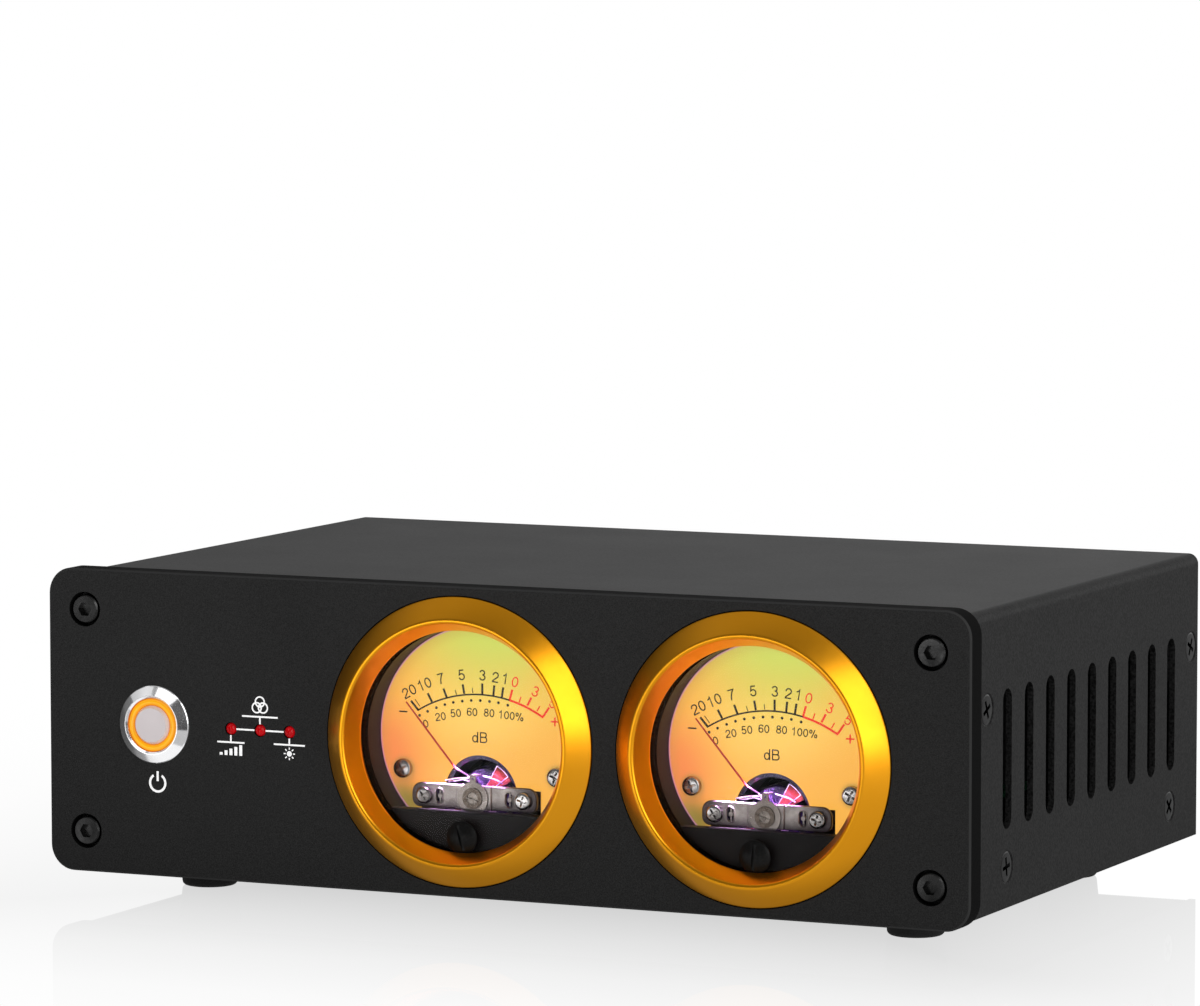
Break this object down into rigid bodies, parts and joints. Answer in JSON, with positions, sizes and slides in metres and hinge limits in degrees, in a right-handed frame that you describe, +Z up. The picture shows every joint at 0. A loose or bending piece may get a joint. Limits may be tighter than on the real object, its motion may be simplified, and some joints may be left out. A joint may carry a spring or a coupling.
{
  "type": "analog vu meter",
  "caption": "Desktop stereo audio level meter: black metal case with backlit round moving-coil meters in gold bezels, a lit push button and red trimmers.",
  "frame": {"origin": "on the surface that the feet stand on, under the middle of the object's outer size", "axes": "+X to the right and +Y from the front to the rear as seen from the front, +Z up"},
  "size_m": [0.19, 0.1394, 0.0637],
  "materials": {
    "black_anodised": "fine bead-blasted and black anodised",
    "black_coat": "fine-textured black powder coat",
    "black_screws": "black oxide",
    "foot_rubber": "matt",
    "plain_steel": "zinc plated",
    "board_green": "green solder mask on fibreglass",
    "board_white": "white solder mask, reflects the backlight",
    "brass_parts": "plain brass",
    "capacitor_can": "dark sleeve",
    "chip_black": "matt moulding",
    "housing_black": "matt moulding",
    "red_plastic": "glossy red",
    "button_chrome": "polished plating",
    "button_steel": "satin",
    "button_amber": "lit amber light guide",
    "jack_plating": "gold plated",
    "jack_insulator": "white",
    "gold_anodised": "turned and gold anodised",
    "clear_window": "clear acrylic",
    "case_black": "matt moulding",
    "dial_amber": "translucent, lit from behind",
    "bridge_metal": "satin",
    "magnet_alloy": "plain cast magnet alloy",
    "adjuster_black": "satin moulding",
    "pointer_red": "painted red",
    "coil_copper": "enamelled copper wire",
    "spring_bronze": "phosphor bronze strip"
  },
  "bodies": {
    "case": {"front_panel": "black_anodised", "top_cover": "black_coat", "chassis": "black_coat", "rear_panel": "black_coat", "front_panel_screws": "black_screws", "cover_screws": "black_screws", "rubber_feet": "foot_rubber", "foot_and_rear_screws": "plain_steel", "main_board": "board_green", "board_standoffs": "brass_parts", "board_screws": "plain_steel", "board_capacitors": "capacitor_can", "board_chips": "chip_black", "meter_terminals": "brass_parts", "trimmer_board": "board_green", "trimmer_bodies": "housing_black", "power_button_bushing": "button_chrome", "power_button_nut": "plain_steel", "power_button_switch": "housing_black", "rca_block": "housing_black", "rca_shells": "jack_plating", "rca_insulators": "jack_insulator", "dc_socket": "housing_black", "jack_contacts": "jack_plating", "dial_screws": "plain_steel", "bridge_screws": "plain_steel", "jewel_bearings": "brass_parts", "backlight_boards": "board_white", "core_magnets": "magnet_alloy", "left_bezel_ring": "gold_anodised", "left_window": "clear_window", "left_meter_case": "case_black", "left_dial_plate": "dial_amber", "left_mask": "case_black", "left_bridge": "bridge_metal", "left_pole_ring": "plain_steel", "right_bezel_ring": "gold_anodised", "right_window": "clear_window", "right_meter_case": "case_black", "right_dial_plate": "dial_amber", "right_mask": "case_black", "right_bridge": "bridge_metal", "right_pole_ring": "plain_steel"},
    "left_pointer": {"left_pointer": "pointer_red", "left_coil": "coil_copper", "left_spindle": "plain_steel"},
    "right_pointer": {"right_pointer": "pointer_red", "right_coil": "coil_copper", "right_spindle": "plain_steel"},
    "left_zero_adjuster": {"left_zero_adjuster": "adjuster_black"},
    "right_zero_adjuster": {"right_zero_adjuster": "adjuster_black"},
    "left_zero_arm": {"left_zero_fork": "bridge_metal", "left_hairspring": "spring_bronze"},
    "right_zero_arm": {"right_zero_fork": "bridge_metal", "right_hairspring": "spring_bronze"},
    "power_button": {"power_button_cap": "button_steel", "power_button_glow_ring": "button_amber"},
    "gain_trimmer": {"gain_trimmer_shaft": "red_plastic"},
    "color_trimmer": {"color_trimmer_shaft": "red_plastic"},
    "light_trimmer": {"light_trimmer_shaft": "red_plastic"}
  },
  "joints": [
    {"name": "left_pointer_swing", "type": "hinge", "parent": "case", "child": "left_pointer", "pos_m": [-0.0076, -0.05335, 0.02315], "axis": [0, 1, 0], "range_deg": [0, 80], "stiffness_Nm_per_rad": 0.00002, "deforming": ["left_hairspring"]},
    {"name": "right_pointer_swing", "type": "hinge", "parent": "case", "child": "right_pointer", "pos_m": [0.0521, -0.05335, 0.02315], "axis": [0, 1, 0], "range_deg": [0, 80], "stiffness_Nm_per_rad": 0.00002, "deforming": ["right_hairspring"]},
    {"name": "left_zero_adjust", "type": "hinge", "parent": "case", "child": "left_zero_adjuster", "pos_m": [-0.0076, -0.06485, 0.01635], "axis": [0, 1, 0], "range_deg": [-45, 45]},
    {"name": "right_zero_adjust", "type": "hinge", "parent": "case", "child": "right_zero_adjuster", "pos_m": [0.0521, -0.06485, 0.01635], "axis": [0, 1, 0], "range_deg": [-45, 45]},
    {"name": "left_zero_arm_turn", "type": "hinge", "parent": "case", "child": "left_zero_arm", "pos_m": [-0.0076, -0.06035, 0.02315], "axis": [0, 1, 0], "range_deg": [-5.25, 5.25]},
    {"name": "right_zero_arm_turn", "type": "hinge", "parent": "case", "child": "right_zero_arm", "pos_m": [0.0521, -0.06035, 0.02315], "axis": [0, 1, 0], "range_deg": [-5.25, 5.25]},
    {"name": "power_button_press", "type": "slide", "parent": "case", "child": "power_button", "axis": [0, 1, 0], "range_m": [0, 0.002], "stiffness_N_per_m": 400, "springref_m": -0.001},
    {"name": "gain_trimmer_turn", "type": "hinge", "parent": "case", "child": "gain_trimmer", "pos_m": [-0.05565, -0.06335, 0.03445], "axis": [0, 1, 0], "range_deg": [-135, 135]},
    {"name": "color_trimmer_turn", "type": "hinge", "parent": "case", "child": "color_trimmer", "pos_m": [-0.04941, -0.06335, 0.03445], "axis": [0, 1, 0], "range_deg": [-135, 135]},
    {"name": "light_trimmer_turn", "type": "hinge", "parent": "case", "child": "light_trimmer", "pos_m": [-0.04317, -0.06335, 0.03445], "axis": [0, 1, 0], "range_deg": [-135, 135]}
  ],
  "couplings": [
    {"joint": "left_zero_arm_turn", "follows": "left_zero_adjust", "ratio": -0.1152},
    {"joint": "right_zero_arm_turn", "follows": "right_zero_adjust", "ratio": -0.1152}
  ]
}
